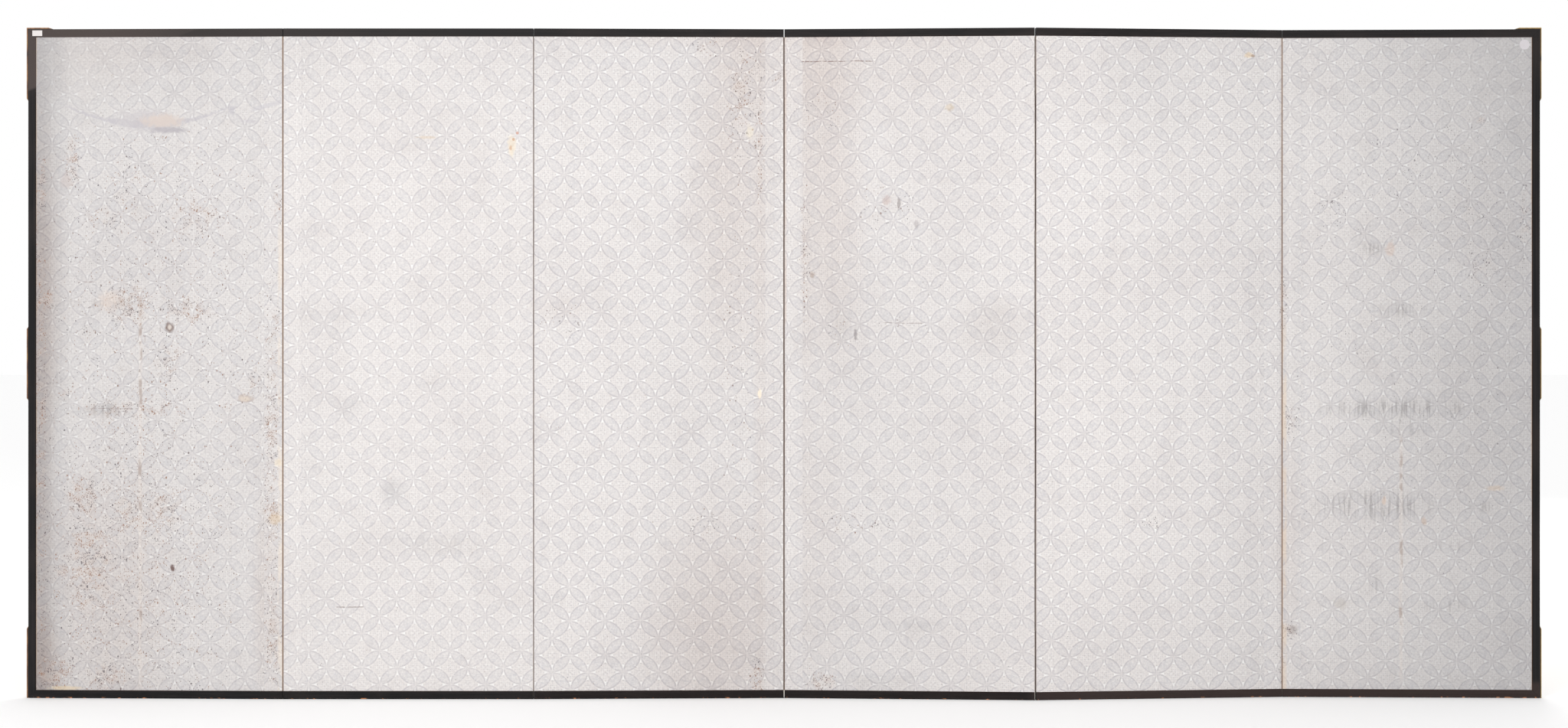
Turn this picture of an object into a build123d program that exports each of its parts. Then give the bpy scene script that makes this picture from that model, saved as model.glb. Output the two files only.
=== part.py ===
from build123d import *
import os

# Byobu: a six-panel folding screen, standing, opened almost flat.
# Millimetres. +X runs along the screen, +Z up, -Y is the side of the back paper, +Y the side of the gold
# sheets. The origin is on the floor, below the middle of the screen's bounding box.
# Each panel is made in its own frame: x from its left edge, y from its middle plane, z from the floor.

# ---- the whole screen
screen_height = 1680.0
inner_panel_width = 625.6
end_panel_width = 643.0
# How far each joint is folded as the screen stands, in degrees: + brings the fronts together, - the backs.
standing_fold_angles = (1.6, 1.4, -4.4, 7.4, -6.0)
first_panel_bearing = -1.56

# ---- lacquered frame
frame_depth = 20.0
frame_face = 20.5
frame_outer_round = 2.0
frame_inner_round = 0.6

# ---- lattice core
core_thickness = 15.6
core_member_width = 34.0
lattice_bar_width = 9.0
lattice_columns = 4
lattice_rows = 11

# ---- papers
back_paper_thickness = 1.2
edge_paper_thickness = 0.5
front_sheet_thickness = 0.8
border_thickness = 0.4
border_width = 24.0

# ---- paper hinges
hinge_gap = 1.6
closed_gap = 0.8
strip_thickness = 0.5
end_strip_height = 150.0
middle_strip_count = 4
strip_spacing = 1.0

# ---- metal fittings on the two outer edges
fitting_rise = 4.0
fitting_wall = 1.0
fitting_margin = 1.0
fitting_end_thickness = 1.4
fitting_edge_round = 1.0
fitting_shoulder = 9.0
fitting_bite = 6.5
corner_side_length = 182.0
corner_top_length = 60.0
corner_foot_length = 56.0
foot_leaf_thickness = 1.0
foot_leaf_clearance = 0.1
middle_fitting_length = 190.0
middle_fitting_height = 840.0

# ---- tacks that hold the fittings
tack_head_diameter = 4.4
tack_head_height = 0.8
tack_head_round = 0.5
tack_shank_diameter = 1.6
tack_length = 14.0
tack_hole_clearance = 0.1
tack_end_distance = 24.0

# ---- blank labels
square_label_width = 25.0
square_label_height = 14.0
square_label_inset = 11.0
round_label_diameter = 25.0
round_label_inset = 18.0
label_thickness = 0.2

# ---- worked out from the sizes above
panel_count = len(standing_fold_angles) + 1
panels = range(1, panel_count + 1)
joints = range(1, panel_count)
hinge_offset = (frame_depth + closed_gap) / 2
paper_low = frame_face
paper_high = screen_height - frame_face
back_face = -(core_thickness / 2 + back_paper_thickness)
front_face = core_thickness / 2 + front_sheet_thickness
fitting_width = frame_depth - 2 * fitting_margin
cutter_length = 4 * fitting_rise  # long enough to pass right through a fitting


def block(x0, x1, y0, y1, z0, z1):
    """A box between two opposite corners."""
    return Pos((x0 + x1) / 2, (y0 + y1) / 2, (z0 + z1) / 2) * Box(x1 - x0, y1 - y0, z1 - z0)


def slab(outline, thickness):
    """An outline of (x, z) points made solid, half of the thickness on each side of the middle plane."""
    face = make_face(Polyline([(x, -thickness / 2, z) for x, z in outline], close=True))
    return extrude(face, amount=thickness, dir=(0, 1, 0))


def on_right_edge(shape):
    """A shape of the left outer edge, turned over to the right outer edge of the last panel."""
    return Pos(panel_width(panel_count), 0, 0) * mirror(shape, about=Plane.YZ)


# ---------------------------------------------------------------- layout of panels and joints

def panel_width(panel):
    return end_panel_width if panel in (1, panel_count) else inner_panel_width


def lay_out(first):
    """Places every panel and joint, from the place of the first panel's left end.

    A joint has two hinge lines. Round the front one the fronts come together, and round the back one the
    backs do. The link is the set of strips from the left panel's front edge to the right panel's back edge,
    and the crossing is the set from its back edge to the right panel's front edge.
    """
    places = {1: first}
    hinges = {}
    for joint in joints:
        fold = standing_fold_angles[joint - 1]
        front_fold, back_fold = max(fold, 0), min(fold, 0)
        middle = places[joint] * Pos(panel_width(joint) + hinge_gap / 2, 0, 0)
        front = middle * Pos(0, hinge_offset, 0)
        left_back = middle * Pos(0, -hinge_offset, 0)
        link = front * Rot(0, 0, front_fold)
        back = link * Pos(0, -2 * hinge_offset, 0)
        right = back * Rot(0, 0, back_fold)
        places[joint + 1] = right * Pos(hinge_gap / 2, hinge_offset, 0)
        hinges[joint] = {
            "front": front,
            "back": back,
            "left_back": left_back,
            "link": link * Pos(0, -hinge_offset, 0),
            "crossing": left_back * Rot(0, 0, back_fold) * Pos(0, hinge_offset, 0),
        }
    return places, hinges


def centred_start():
    """Place of the first panel's left end that puts the screen's middle over the origin."""
    places, _ = lay_out(Rot(0, 0, first_panel_bearing))
    corners = [
        (places[panel] * Pos(x, y, 0)).position
        for panel in panels
        for x in (0, panel_width(panel))
        for y in (-frame_depth / 2, frame_depth / 2)
    ]
    across = [corner.X for corner in corners]
    deep = [corner.Y for corner in corners]
    shift = Pos(-(min(across) + max(across)) / 2, -(min(deep) + max(deep)) / 2, 0)
    return shift * Rot(0, 0, first_panel_bearing)


# ---------------------------------------------------------------- core and papers

def paper_span(panel):
    """Where the papered part of a panel starts and ends along its width."""
    left = frame_face if panel == 1 else 0.0
    right = panel_width(panel) - (frame_face if panel == panel_count else 0.0)
    return left, right


def core_lattice(panel):
    """Cedar frame with crossed lattice bars, glued up as one piece."""
    left, right = paper_span(panel)
    left += edge_paper_thickness if panel > 1 else 0.0
    right -= edge_paper_thickness if panel < panel_count else 0.0
    half = core_thickness / 2
    field_width = right - left - 2 * core_member_width
    field_height = paper_high - paper_low - 2 * core_member_width
    cell_width = (field_width - (lattice_columns - 1) * lattice_bar_width) / lattice_columns
    cell_height = (field_height - (lattice_rows - 1) * lattice_bar_width) / lattice_rows
    cells = []
    for column in range(lattice_columns):
        for row in range(lattice_rows):
            x = left + core_member_width + column * (cell_width + lattice_bar_width)
            z = paper_low + core_member_width + row * (cell_height + lattice_bar_width)
            cells.append(block(x, x + cell_width, -half, half, z, z + cell_height))
    return block(left, right, -half, half, paper_low, paper_high) - cells


def back_paper(panel):
    """Layered back paper, turned over the core's free edges."""
    left, right = paper_span(panel)
    half = core_thickness / 2
    sheet = block(left, right, back_face, -half, paper_low, paper_high)
    if panel > 1:
        sheet += block(left, left + edge_paper_thickness, -half, half, paper_low, paper_high)
    if panel < panel_count:
        sheet += block(right - edge_paper_thickness, right, -half, half, paper_low, paper_high)
    return sheet


def front_sheet(panel):
    """Gold-leafed sheet on the front of the core."""
    left, right = paper_span(panel)
    return block(left, right, core_thickness / 2, front_face, paper_low, paper_high)


def front_border(panel):
    """Brocade border along the top and bottom, and down the outer side of an end panel."""
    left, right = paper_span(panel)
    bottom_high = paper_low + border_width
    top_low = paper_high - border_width
    areas = [(left, right, paper_low, bottom_high), (left, right, top_low, paper_high)]
    if panel == 1:
        areas.append((left, left + border_width, bottom_high, top_low))
    if panel == panel_count:
        areas.append((right - border_width, right, bottom_high, top_low))
    strips = [block(x0, x1, front_face, front_face + border_thickness, z0, z1) for x0, x1, z0, z1 in areas]
    return strips[0] + strips[1:]


# ---------------------------------------------------------------- lacquered frame

def eased(bar, along, outward):
    """Rounds a bar's long edges: more on its outer side than beside the paper."""
    bar = fillet(bar.edges().filter_by(along).sort_by(outward)[-2:], frame_outer_round)
    return fillet(bar.edges().filter_by(along).sort_by(outward)[:2], frame_inner_round)


def foot_recess():
    """Recess for the foot leaf of a lower corner fitting, on the left outer edge."""
    half = fitting_width / 2 + foot_leaf_clearance
    return block(-frame_face, corner_foot_length + foot_leaf_clearance, -half, half, 0, foot_leaf_thickness)


def rail(panel, at_top):
    """Top or bottom rail of a panel, mitred where it meets a stile."""
    left, right = paper_span(panel)
    outer, inner = (screen_height, paper_high) if at_top else (0.0, paper_low)
    bar = slab([(0, outer), (panel_width(panel), outer), (right, inner), (left, inner)], frame_depth)
    bar = eased(bar, Axis.X, Axis.Z if at_top else -Axis.Z)
    cut = tack_holes("top") if at_top else [foot_recess()]
    if panel == 1:
        bar -= cut
    if panel == panel_count:
        bar -= [on_right_edge(shape) for shape in cut]
    return bar


def stile():
    """Upright of the frame on the left outer edge, mitred to the rails."""
    outline = [(0, 0), (frame_face, paper_low), (frame_face, paper_high), (0, screen_height)]
    bar = eased(slab(outline, frame_depth), Axis.Z, -Axis.X)
    return bar - [foot_recess()] - tack_holes("side")


# ---------------------------------------------------------------- metal fittings, on the left outer edge

def tongue_bites(z):
    """Cutters that narrow an end of a fitting, at height z on the outer edge, to a tongue."""
    cutter = Rot(0, 90, 0) * Cylinder(fitting_bite, cutter_length)
    return [Pos(0, side * fitting_width / 2, z) * cutter for side in (-1, 1)]


def rounded_plate(outline):
    """A plate across the edge face, with the long edges of its outer faces rounded."""
    plate = slab(outline, fitting_width)
    rims = [
        edge
        for edge in plate.edges().filter_by(Plane.XZ)
        if edge.length > fitting_rise and on_outer_face(edge)
    ]
    return fillet(rims, fitting_edge_round)


def on_outer_face(edge):
    """Whether an edge lies away from the faces of the frame."""
    middle = edge @ 0.5
    beside_stile = middle.X < -fitting_end_thickness / 4
    above_rail = middle.Z > screen_height + fitting_end_thickness / 4
    return beside_stile or above_rail


def corner_outline():
    """Side outline of an upper corner fitting, which laps over the stile and the top rail."""
    low = screen_height - corner_side_length
    return [
        (0, low),
        (-fitting_end_thickness, low),
        (-fitting_rise, low + fitting_shoulder),
        (-fitting_rise, screen_height + fitting_rise),
        (corner_top_length - fitting_shoulder, screen_height + fitting_rise),
        (corner_top_length, screen_height + fitting_end_thickness),
        (corner_top_length, screen_height),
        (0, screen_height),
    ]


def foot_outline():
    """Side outline of a lower corner fitting, with the leaf that is let into the frame's underside."""
    return [
        (0, corner_side_length),
        (-fitting_end_thickness, corner_side_length),
        (-fitting_rise, corner_side_length - fitting_shoulder),
        (-fitting_rise, 0),
        (corner_foot_length, 0),
        (corner_foot_length, foot_leaf_thickness),
        (0, foot_leaf_thickness),
    ]


def hollow(low, high):
    """Space under the metal of a fitting, along the stile between two heights."""
    half = fitting_width / 2 - fitting_wall
    return block(-(fitting_rise - fitting_wall), 0, -half, half, low, high)


def top_corner_fitting():
    """Embossed L-shaped fitting of the upper corner."""
    plate = rounded_plate(corner_outline())
    low = screen_height - corner_side_length
    inner = fitting_rise - fitting_wall
    half = fitting_width / 2 - fitting_wall
    end = corner_top_length
    solid_end = fitting_shoulder + fitting_bite
    top_space = block(-inner, end - solid_end, -half, half, screen_height, screen_height + inner)
    top_bites = [
        Pos(end, side * fitting_width / 2, screen_height) * Cylinder(fitting_bite, cutter_length)
        for side in (-1, 1)
    ]
    cuts = tongue_bites(low) + top_bites + [hollow(low + solid_end, screen_height), top_space]
    return plate - cuts - tack_holes("side") - tack_holes("top")


def foot_corner_fitting():
    """Embossed fitting of the lower corner, which turns under the frame."""
    plate = rounded_plate(foot_outline())
    solid_end = fitting_shoulder + fitting_bite
    cuts = tongue_bites(corner_side_length) + [hollow(fitting_wall, corner_side_length - solid_end)]
    return plate - cuts - tack_holes("side")


def middle_fitting():
    """Embossed straight fitting half-way up the stile."""
    low = middle_fitting_height - middle_fitting_length / 2
    high = middle_fitting_height + middle_fitting_length / 2
    plate = rounded_plate([
        (0, low),
        (-fitting_end_thickness, low),
        (-fitting_rise, low + fitting_shoulder),
        (-fitting_rise, high - fitting_shoulder),
        (-fitting_end_thickness, high),
        (0, high),
    ])
    solid_end = fitting_shoulder + fitting_bite
    cuts = tongue_bites(low) + tongue_bites(high) + [hollow(low + solid_end, high - solid_end)]
    return plate - cuts - tack_holes("side")


def tack_places(face):
    """Where tacks sit on a fitting's outer face, pointing into the wood: on the stile's side or on top."""
    if face == "top":
        return [Pos(corner_top_length / 2, 0, screen_height + fitting_rise) * Rot(180, 0, 0)]
    corner_end = corner_side_length - tack_end_distance
    middle_end = middle_fitting_length / 2 - tack_end_distance
    heights = [tack_end_distance, (tack_end_distance + corner_end) / 2, corner_end]
    heights += [middle_fitting_height + offset for offset in (-middle_end, 0, middle_end)]
    heights += [screen_height - height for height in reversed(heights[:3])]
    return [Pos(-fitting_rise, 0, height) * Rot(0, 90, 0) for height in heights]


def tack():
    """A tack whose head rests on z = 0 and whose shank runs up along +Z."""
    head = Pos(0, 0, -tack_head_height / 2) * Cylinder(tack_head_diameter / 2, tack_head_height)
    head = fillet(head.edges().filter_by(GeomType.CIRCLE).sort_by(Axis.Z)[:1], tack_head_round)
    return head + Pos(0, 0, tack_length / 2) * Cylinder(tack_shank_diameter / 2, tack_length)


def tack_holes(face):
    """Holes for the tacks of one face, through the metal and into the wood."""
    radius = tack_shank_diameter / 2 + tack_hole_clearance
    length = tack_length + tack_hole_clearance
    hole = Pos(0, 0, length / 2 - tack_head_height) * Cylinder(radius, length + 2 * tack_head_height)
    return [place * hole for place in tack_places(face)]


# ---------------------------------------------------------------- hinges and labels

def strip_spans():
    """Lowest and highest point of each hinge strip, from the bottom up."""
    low_end = paper_low + end_strip_height
    high_end = paper_high - end_strip_height
    step = (high_end - low_end) / middle_strip_count
    bounds = [paper_low] + [low_end + step * n for n in range(middle_strip_count + 1)] + [paper_high]
    return [(low + strip_spacing / 2, high - strip_spacing / 2) for low, high in zip(bounds, bounds[1:])]


def hinge_strips(start):
    """Every second hinge strip of a joint, counted from the bottom, across the gap between the panels."""
    half = strip_thickness / 2
    spans = strip_spans()[start::2]
    return [block(-half, half, back_face, front_face, low, high) for low, high in spans]


def square_label():
    """Small blank label on the left end of the first panel's top rail."""
    left = square_label_inset
    low = screen_height - frame_face / 2 - square_label_height / 2
    front = -frame_depth / 2
    return block(left, left + square_label_width, front - label_thickness, front, low, low + square_label_height)


def round_label():
    """Round blank label on the back paper, in the last panel's upper outer corner."""
    x = panel_width(panel_count) - frame_face - round_label_inset
    z = paper_high - round_label_inset
    disc = Rot(90, 0, 0) * Cylinder(round_label_diameter / 2, label_thickness)
    return Pos(x, back_face - label_thickness / 2, z) * disc


# ---------------------------------------------------------------- the screen

def build_nodes():
    """Every node of the standing screen, as a list of solids in place."""
    places, hinges = lay_out(centred_start())
    first, last = places[1], places[panel_count]
    nodes = {}
    for panel in panels:
        nodes[f"core_lattice_{panel}"] = [places[panel] * core_lattice(panel)]
        nodes[f"back_paper_{panel}"] = [places[panel] * back_paper(panel)]
        nodes[f"front_sheet_{panel}"] = [places[panel] * front_sheet(panel)]
        nodes[f"front_border_{panel}"] = [places[panel] * piece for piece in front_border(panel).solids()]
        nodes[f"top_rail_{panel}"] = [places[panel] * rail(panel, True)]
        nodes[f"bottom_rail_{panel}"] = [places[panel] * rail(panel, False)]
    for joint in joints:
        link, crossing = hinges[joint]["link"], hinges[joint]["crossing"]
        nodes[f"link_strips_{joint}"] = [link * strip for strip in hinge_strips(1)]
        nodes[f"crossing_strips_{joint}"] = [crossing * strip for strip in hinge_strips(0)]
    edge_pieces = {
        "stile": [stile()],
        "top_corner_fitting": [top_corner_fitting()],
        "middle_fitting": [middle_fitting()],
        "foot_corner_fitting": [foot_corner_fitting()],
        "tacks": [place * tack() for place in tack_places("side") + tack_places("top")],
    }
    for name, solids in edge_pieces.items():
        nodes[f"left_{name}"] = [first * solid for solid in solids]
        nodes[f"right_{name}"] = [last * on_right_edge(solid) for solid in solids]
    nodes["square_label"] = [first * square_label()]
    nodes["round_label"] = [last * round_label()]
    return nodes


def main():
    os.makedirs("parts", exist_ok=True)
    for name, solids in build_nodes().items():
        shape = solids[0] if len(solids) == 1 else Compound(children=solids)
        shape.label = name
        export_step(shape, f"parts/{name}.step")


if __name__ == "__main__":
    main()
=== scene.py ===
import math

import bmesh
import bpy
from mathutils import Matrix, Vector, noise


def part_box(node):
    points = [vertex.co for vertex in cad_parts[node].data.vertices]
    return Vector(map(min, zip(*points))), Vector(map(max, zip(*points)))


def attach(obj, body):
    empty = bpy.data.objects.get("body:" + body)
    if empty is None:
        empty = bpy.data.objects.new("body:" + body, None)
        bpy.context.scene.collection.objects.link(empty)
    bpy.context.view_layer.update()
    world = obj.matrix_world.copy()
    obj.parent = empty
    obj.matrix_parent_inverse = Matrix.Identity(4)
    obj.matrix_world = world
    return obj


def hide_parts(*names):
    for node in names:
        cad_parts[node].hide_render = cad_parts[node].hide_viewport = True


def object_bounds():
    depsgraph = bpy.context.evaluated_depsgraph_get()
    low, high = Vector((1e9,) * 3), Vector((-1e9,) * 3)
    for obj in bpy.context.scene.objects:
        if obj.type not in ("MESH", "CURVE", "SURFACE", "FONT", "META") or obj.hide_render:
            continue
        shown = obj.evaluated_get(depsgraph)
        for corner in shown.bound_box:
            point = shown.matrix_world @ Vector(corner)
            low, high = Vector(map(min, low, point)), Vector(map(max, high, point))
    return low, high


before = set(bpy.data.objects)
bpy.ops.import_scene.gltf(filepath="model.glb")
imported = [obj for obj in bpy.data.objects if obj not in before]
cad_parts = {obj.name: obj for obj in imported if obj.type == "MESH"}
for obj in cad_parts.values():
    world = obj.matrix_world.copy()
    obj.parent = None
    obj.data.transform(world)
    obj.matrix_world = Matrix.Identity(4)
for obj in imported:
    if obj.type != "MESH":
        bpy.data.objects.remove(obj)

cad_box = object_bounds()

# Byobu folding screen, standing nearly flat, seen from the papered back. Metres, in the frame of the solids:
# +X along the screen, +Z up, -Y the side of the printed back paper, +Y the side of the gold sheets.

MM = 0.001
PANELS = range(1, 7)
JOINTS = range(1, 6)
WORN_JOINTS = (1, 3, 5)              # these fold with the papered backs outside

# ---- the printed pattern: linked circles, with cusps one radius apart
print_radius_across = 44.3 * MM
print_radius_up = 43.0 * MM
outline_radius = 0.965               # of the line drawn inside each circle, in radii
net_spacing = 0.115                  # of the fine net in the diamonds, in radii

# How each panel's paper was printed: the blocks' place across and up, in radii, how many radii the print leans
# to the right from the bottom to the top, and how strong its grey and its white are.
panel_print = {
    1: (1.52, 0.27, 0.0, 0.9, 0.7),
    2: (0.01, 0.85, -0.28, 0.9, 0.85),
    3: (0.70, 0.55, -0.45, 1.1, 0.9),
    4: (0.28, 0.85, -0.34, 1.05, 0.7),
    5: (0.97, 0.45, -0.28, 1.1, 0.9),
    6: (1.03, 0.15, -0.30, 0.95, 0.75),
}

# Strips of the same paper, pasted over the edges at the worn joints: their print's place, counted across from
# the middle of the joint.
strip_width = 46 * MM
strip_print = {
    (1, "right"): (-0.72, 0.59),
    (2, "left"): (0.82, 1.62),
    (3, "right"): (-0.09, 1.57),
    (4, "left"): (0.27, 0.56),
    (5, "right"): (-0.33, 0.49),
    (6, "left"): (0.45, 1.47),
}

# ---- papers
sheet_thickness = 0.4 * MM
strip_lift = 0.15 * MM
cockle_height = 0.25 * MM
cockle_fade = 60 * MM
grid_step = 10 * MM
turned_round = 0.7 * MM
last_seam_inset = 31 * MM            # from the last panel's outer edge to the seam beside it

# How far the strips at each worn joint stand past the panels' edges, and how deep they are turned in over them.
strip_overhang = {1: 0.1 * MM, 3: 0.48 * MM, 5: 0.1 * MM}
strip_turned_depth = 3 * MM

# How brown the paper is where it is turned over a panel's edge, from 0 to 1.
worn_joint_wear = 0.9
other_joint_wear = 0.35

sharp_turn = math.radians(15)        # faces that meet at more than this are shaded with a sharp edge
same_place = 0.01 * MM               # points nearer than this lie on the same edge of a sheet
turned_from = 0.05 * MM              # points deeper than this belong to a turned-over edge

# ---- where the back paper carries painted shade and grey stains, where it has aged and where its print is faint:
# ovals in millimetres, from the screen's middle and from the floor, with half their width, half their height and how
# strong they are. The shaded places are partly grey stains and partly painted shade of the uneven light, as along
# the first panel's left edge, beside the fifth joint and along the foot.
shade_and_grey_stain_places = (
    (-978, 1508, 108, 36, 0.03), (-1136, 950, 114, 54, 0.02), (-1085, 734, 46, 36, 0.04), (-978, 519, 41, 48, 0.08),
    (-877, 390, 174, 46, 0.04), (143, 926, 32, 60, 0.06), (530, 922, 130, 102, 0.05), (327, 183, 106, 26, 0.05),
    (223, 40, 108, 32, 0.05), (1635, 715, 300, 384, 0.03), (1832, 1407, 54, 72, 0.04), (-1727, 722, 84, 20, 0.07),
    (-1288, 901, 18, 55, 0.07), (-60, 820, 420, 1100, 0.05), (-190, 120, 320, 420, 0.05), (320, 560, 420, 1400, 0.07),
    (140, 60, 300, 360, 0.05), (1258, 840, 14, 2400, 0.10), (1288, 840, 26, 2400, 0.06), (776, 60, 200, 220, 0.02),
    (-1868, 300, 40, 800, 0.04), (1150, 60, 800, 360, 0.035), (-1240, 1640, 120, 140, 0.03),
    (914, 1520, 170, 280, 0.045),
)
warm_places = (
    (-140, 1248, 140, 580, 0.36), (-30, 840, 30, 1200, 0.2), (0, 1620, 240, 200, 0.3), (300, 1600, 520, 200, 0.2),
    (-1868, 700, 44, 1200, 0.5), (-61, 840, 18, 1033, 0.2), (-170, 180, 230, 400, 0.38), (109, 1253, 120, 560, 0.35),
    (96, 403, 80, 500, 0.15), (56, 845, 22, 1039, 0.1), (-3, 1660, 774, 43, 0.2), (-1600, 1640, 320, 90, 0.1),
    (-1725, 1599, 178, 120, 0.15), (-1703, 248, 220, 460, 0.30), (-1850, 1042, 60, 500, 0.35),
    (-1290, 268, 54, 318, 0.4), (521, 931, 132, 114, 0.15), (-1862, 60, 60, 200, 0.6),
    (-555, 984, 108, 48, 0.15), (1270, 403, 36, 486, 0.35), (-1694, 999, 36, 36, 0.3),
)
speckled_places = (
    (-1786, 1344, 23, 90, 0.9), (-1863, 1296, 10, 102, 0.7), (-1655, 1282, 66, 132, 0.18), (-1473, 1209, 89, 60, 0.4),
    (-1719, 1203, 74, 43, 0.35), (-1644, 989, 67, 66, 0.8), (-1496, 972, 96, 43, 0.55), (-1850, 999, 26, 29, 0.8),
    (-1547, 845, 40, 78, 0.45), (-1323, 800, 25, 38, 0.7), (-1858, 744, 12, 36, 0.8), (-1806, 761, 19, 19, 0.6),
    (-1626, 727, 162, 28, 0.45), (-1285, 686, 22, 60, 0.6), (-1269, 1238, 13, 78, 0.6), (-1269, 946, 13, 48, 0.6),
    (-1763, 504, 44, 60, 0.95), (-1741, 336, 66, 150, 0.6), (-1642, 470, 50, 54, 0.45), (-1552, 475, 58, 48, 0.65),
    (-1815, 318, 26, 28, 0.7), (-1831, 62, 50, 53, 0.95), (-1703, 55, 54, 44, 0.6), (-1281, 460, 31, 30, 0.7),
    (-1276, 127, 24, 134, 0.75), (-96, 1517, 58, 186, 0.25), (-60, 1407, 12, 204, 0.6), (-112, 1522, 25, 72, 0.5),
    (-195, 1637, 54, 36, 0.35), (-200, 441, 60, 66, 0.2), (-67, 57, 22, 54, 0.95), (-13, 1560, 12, 24, 0.6),
    (88, 1464, 72, 72, 0.2), (52, 1118, 12, 216, 0.6), (247, 1234, 126, 72, 0.15), (141, 931, 30, 54, 0.2),
    (295, 943, 66, 16, 0.25), (180, 446, 162, 48, 0.15), (91, 40, 56, 32, 0.8), (-550, 960, 78, 66, 0.15),
    (920, 439, 55, 20, 0.35), (1257, 998, 13, 90, 0.8), (1630, 1315, 222, 258, 0.09), (1760, 1217, 120, 40, 0.16),
    (1754, 1085, 60, 78, 0.32), (1862, 1200, 20, 138, 0.5), (1380, 1238, 54, 78, 0.2), (1275, 701, 28, 49, 0.6),
    (1275, 169, 28, 29, 0.9), (1253, 81, 8, 72, 0.8), (1750, 1455, 24, 12, 0.8), (-1600, 830, 420, 760, 0.13),
    (-1640, 260, 330, 520, 0.26), (-1500, 1250, 300, 260, 0.06), (-1868, 700, 22, 900, 0.45),
    (-1284, 560, 26, 620, 0.5), (-110, 1000, 60, 900, 0.08), (1600, 900, 380, 900, 0.04),
)
faint_places = (
    (-1790, 1610, 240, 240, 0.55), (-1790, 700, 120, 700, 0.25), (1780, 1600, 260, 300, 0.4),
    (-1560, 1440, 220, 60, 0.4),
)
rubbed_places = (
    (1544, 726, 261, 32, 0.9), (1558, 681, 108, 30, 0.5), (1490, 484, 193, 48, 0.9), (1754, 480, 46, 18, 0.7),
    (1482, 1130, 40, 19, 0.8), (1547, 976, 88, 24, 0.6), (1667, 230, 91, 23, 0.5), (1495, 285, 13, 29, 0.7),
    (1678, 382, 78, 20, 0.3), (1808, 1136, 60, 12, 0.4), (-1706, 725, 58, 24, 0.6), (-1713, 992, 138, 14, 0.4),
    (-829, 386, 114, 40, 0.2),
)

# ---- the view and the studio; the view's width and centre are measured in the plane y = 0
camera_distance = 5.5
camera_height = 0.96
view_width = 3.9385
view_centre_height = 0.839
sensor_width = 36.0                  # in millimetres, like the lens
floor_half_width = 30.0
lamp_size = 3.0
lamp_power = 75.0
lamp_aim = Vector((0.0, 0.0, 0.8))


# ================================================================ finishes

def paint(red, green, blue):
    """A colour given as it looks on a screen, 0 to 255, made linear."""
    def linear(value):
        share = value / 255
        return share / 12.92 if share <= 0.04045 else ((share + 0.055) / 1.055) ** 2.4
    return (linear(red), linear(green), linear(blue), 1.0)


class Field:
    """A number that varies over a surface. Arithmetic on it adds nodes to its finish."""

    def __init__(self, finish, socket):
        self.finish = finish
        self.socket = socket

    def math(self, operation, *others):
        return self.finish.math(operation, self, *others)

    def __add__(self, other):
        return self.math("ADD", other)

    def __sub__(self, other):
        return self.math("SUBTRACT", other)

    def __rsub__(self, other):
        return self.finish.math("SUBTRACT", other, self)

    def __mul__(self, other):
        return self.math("MULTIPLY", other)

    def __abs__(self):
        return self.math("ABSOLUTE")

    def ramp(self, low, high):
        """0 at low and 1 at high, with a soft rise between them, or a fall where high is below low."""
        node = self.finish.node("MapRange", interpolation_type="SMOOTHSTEP")
        for socket, value in zip(node.inputs, (self, low, high)):
            self.finish.feed(socket, value)
        return Field(self.finish, node.outputs["Result"])

    def band(self, centre, half, soft):
        """1 within half of a centre, falling to 0 over soft."""
        return abs(self - centre).ramp(half + soft, half)


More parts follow.
